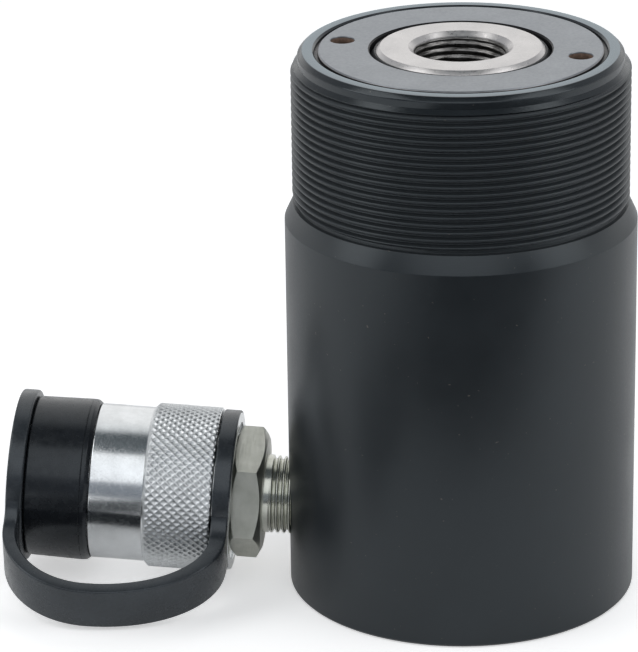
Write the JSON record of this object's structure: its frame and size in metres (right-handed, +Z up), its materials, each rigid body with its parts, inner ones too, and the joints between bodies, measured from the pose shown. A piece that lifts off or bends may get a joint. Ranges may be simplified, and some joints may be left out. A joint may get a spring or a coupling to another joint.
{
  "type": "hollow plunger hydraulic cylinder",
  "caption": "Hollow plunger hydraulic cylinder with a through hole, threaded collar, spring return plunger and a side screw coupler closed by a dust cap on a strap.",
  "frame": {"origin": "centre of the base face, on the plunger axis", "axes": "+Z up along the plunger axis, -X along the coupler's side, +Y to the back"},
  "size_m": [0.1331, 0.0737, 0.1184],
  "materials": {
    "black_steel": "satin black oxide",
    "gland_steel": "turned, grey phosphate",
    "ground_steel": "ground and hard chromed",
    "tube_steel": "drawn, honed",
    "spring_steel": "oiled spring wire",
    "nickel_steel": "satin nickel",
    "zinc_steel": "bright zinc plate",
    "ball_steel": "polished",
    "brass_trim": "turned",
    "seal_rubber": "matt nitrile",
    "seal_blue": "cast polyurethane",
    "backup_white": "plain",
    "band_brown": "fabric filled resin",
    "cap_plastic": "moulded, semi gloss",
    "strap_rubber": "moulded, satin"
  },
  "bodies": {
    "cylinder": {"barrel": "black_steel", "center_tube": "tube_steel", "center_tube_oring": "seal_rubber", "gland_nut": "gland_steel", "plunger_wiper": "seal_rubber", "return_spring": "spring_steel", "coupler_body": "nickel_steel", "valve_seat": "nickel_steel", "nose_oring": "seal_rubber", "spring_retainer": "brass_trim", "check_spring": "spring_steel", "sleeve_snap_ring": "spring_steel"},
    "plunger": {"plunger": "ground_steel", "piston_u_cup": "seal_blue", "piston_backup_ring": "backup_white", "piston_wear_band": "band_brown", "bore_u_cup": "seal_blue", "bore_backup_ring": "backup_white", "bore_wear_band": "band_brown"},
    "sleeve": {"coupler_sleeve": "zinc_steel"},
    "check_ball": {"check_ball": "ball_steel"},
    "strap": {"dust_cap_strap": "strap_rubber"},
    "dust_cap": {"dust_cap": "cap_plastic", "strap_button": "cap_plastic"}
  },
  "joints": [
    {"name": "plunger_slide", "type": "slide", "parent": "cylinder", "child": "plunger", "axis": [0, 0, 1], "range_m": [0, 0.042], "stiffness_N_per_m": 4800, "springref_m": -0.02, "deforming": ["return_spring"]},
    {"name": "sleeve_spin", "type": "hinge", "parent": "cylinder", "child": "sleeve", "pos_m": [-0.0366, 0, 0.0175], "axis": [-0.9981, 0, 0.061], "continuous": true},
    {"name": "ball_push", "type": "slide", "parent": "cylinder", "child": "check_ball", "axis": [0.9981, 0, -0.061], "range_m": [0, 0.003], "stiffness_N_per_m": 400, "springref_m": -0.004, "deforming": ["check_spring"]},
    {"name": "strap_swivel", "type": "hinge", "parent": "cylinder", "child": "strap", "pos_m": [-0.0366, 0, 0.0175], "axis": [-0.9981, 0, 0.061], "continuous": true},
    {"name": "cap_pull", "type": "slide", "parent": "strap", "child": "dust_cap", "axis": [-0.9981, 0, 0.061], "range_m": [0, 0.014], "deforming": ["dust_cap_strap"]}
  ]
}
